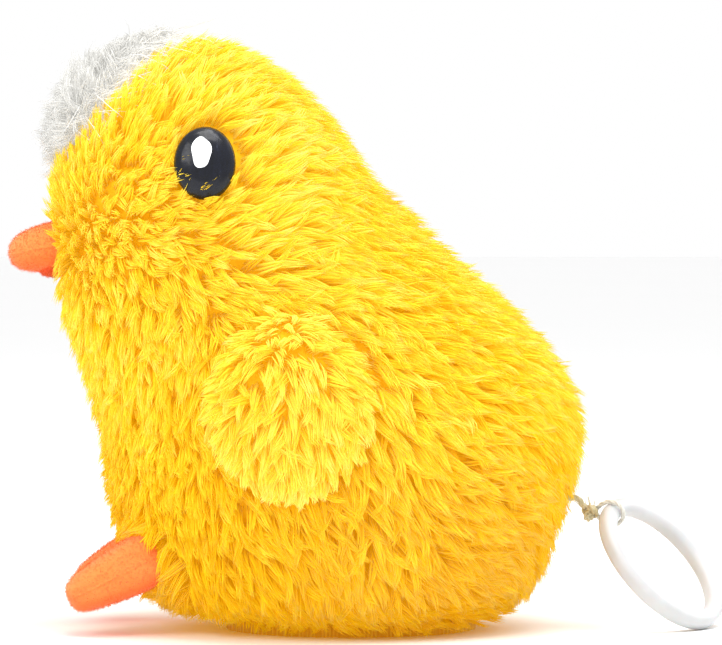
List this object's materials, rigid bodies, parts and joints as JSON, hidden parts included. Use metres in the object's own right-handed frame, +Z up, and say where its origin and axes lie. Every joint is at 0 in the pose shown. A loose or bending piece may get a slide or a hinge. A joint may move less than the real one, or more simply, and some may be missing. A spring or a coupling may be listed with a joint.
{
  "type": "pull-cord hopping plush chick",
  "caption": "Long-pile plush chick with felt beak and feet, a fluffy crest and flap wings; a pull ring and cord wind a clockwork motor whose eccentric weight makes it hop.",
  "frame": {"origin": "the middle of the flat base panel the chick stands on", "axes": "+Z up, -Y is the way the beak points, +X is the chick's left"},
  "size_m": [0.0986, 0.1435, 0.1189],
  "materials": {
    "plush": "long shaggy pile, matt, yellow",
    "wing_plush": "long shaggy pile, matt, paler yellow",
    "felt": "brushed felt, matt, orange",
    "felt_dark": "brushed felt, matt, darker orange",
    "crest": "fine fluffy fibre, white to pale grey",
    "eye": "polished, near black, with a white glint spot",
    "stuffing": "polyester fibre fill",
    "ring": "moulded white plastic, soft gloss",
    "cord": "braided off-white cord",
    "housing": "moulded white plastic",
    "gear": "natural acetal, satin",
    "steel": "bright drawn steel",
    "spring_steel": "blued spring strip"
  },
  "bodies": {
    "root": {"base_panel": "plush", "beak_lower": "felt_dark", "beak_upper": "felt", "body_cover_left": "plush", "body_cover_right": "plush", "body_stuffing": "stuffing", "cord_bush": "gear", "cord_eyelet": "ring", "crest_tuft": "crest", "eye_left": "eye", "eye_right": "eye", "eye_washer_left": "housing", "eye_washer_right": "housing", "foot_left": "felt", "foot_right": "felt", "head_cover_left": "plush", "head_cover_right": "plush", "head_stuffing": "stuffing", "housing_screw_1": "steel", "housing_screw_2": "steel", "housing_screw_3": "steel", "housing_screw_4": "steel", "mainspring": "spring_steel", "motor_housing_left": "housing", "motor_housing_right": "housing", "pull_cord": "cord"},
    "pull_knot": {"cord_knot": "cord", "cord_loop": "cord"},
    "ring": {"pull_ring": "ring"},
    "drum": {"cord_drum": "gear", "cord_winding": "cord", "drum_gear": "gear", "drum_axle": "steel", "spring_arbor": "steel"},
    "second_shaft": {"second_gear": "gear", "second_pinion": "gear", "second_axle": "steel"},
    "weight_shaft": {"eccentric_weight": "steel", "weight_pinion": "gear", "weight_axle": "steel"},
    "wing_l": {"wing_left": "wing_plush"},
    "wing_r": {"wing_right": "wing_plush"}
  },
  "joints": [
    {"name": "weight_spin", "type": "hinge", "parent": "root", "child": "weight_shaft", "pos_m": [0, -0.0172, 0.0393], "axis": [1, 0, 0], "range_deg": [0, 31180], "stiffness_Nm_per_rad": 0.00000254, "springref_deg": -20718.15},
    {"name": "second_spin", "type": "hinge", "parent": "root", "child": "second_shaft", "pos_m": [0, -0.0086, 0.02701], "axis": [1, 0, 0], "range_deg": [-7795, 0]},
    {"name": "drum_spin", "type": "hinge", "parent": "root", "child": "drum", "pos_m": [0, 0.005, 0.03335], "axis": [1, 0, 0], "range_deg": [0, 1948.75], "deforming": ["mainspring"]},
    {"name": "ring_pull", "type": "slide", "parent": "root", "child": "pull_knot", "axis": [0, 1, 0], "range_m": [0, 0.25], "deforming": ["pull_cord"]},
    {"name": "ring_tilt", "type": "hinge", "parent": "pull_knot", "child": "ring", "pos_m": [0, 0.0513, 0.0229], "axis": [0.9063, -0.2988, -0.2988], "range_deg": [0, 100]},
    {"name": "wing_left_flap", "type": "hinge", "parent": "root", "child": "wing_l", "pos_m": [0.0365, -0.01627, 0.06539], "axis": [0, -0.9781, -0.2079], "range_deg": [0, 55]},
    {"name": "wing_right_flap", "type": "hinge", "parent": "root", "child": "wing_r", "pos_m": [-0.0365, -0.01627, 0.06539], "axis": [0, 0.9781, 0.2079], "range_deg": [0, 55]}
  ],
  "couplings": [
    {"joint": "second_spin", "follows": "weight_spin", "ratio": -0.25},
    {"joint": "drum_spin", "follows": "weight_spin", "ratio": 0.0625},
    {"joint": "ring_pull", "follows": "weight_spin", "m_per_rad": 0.00045937}
  ]
}
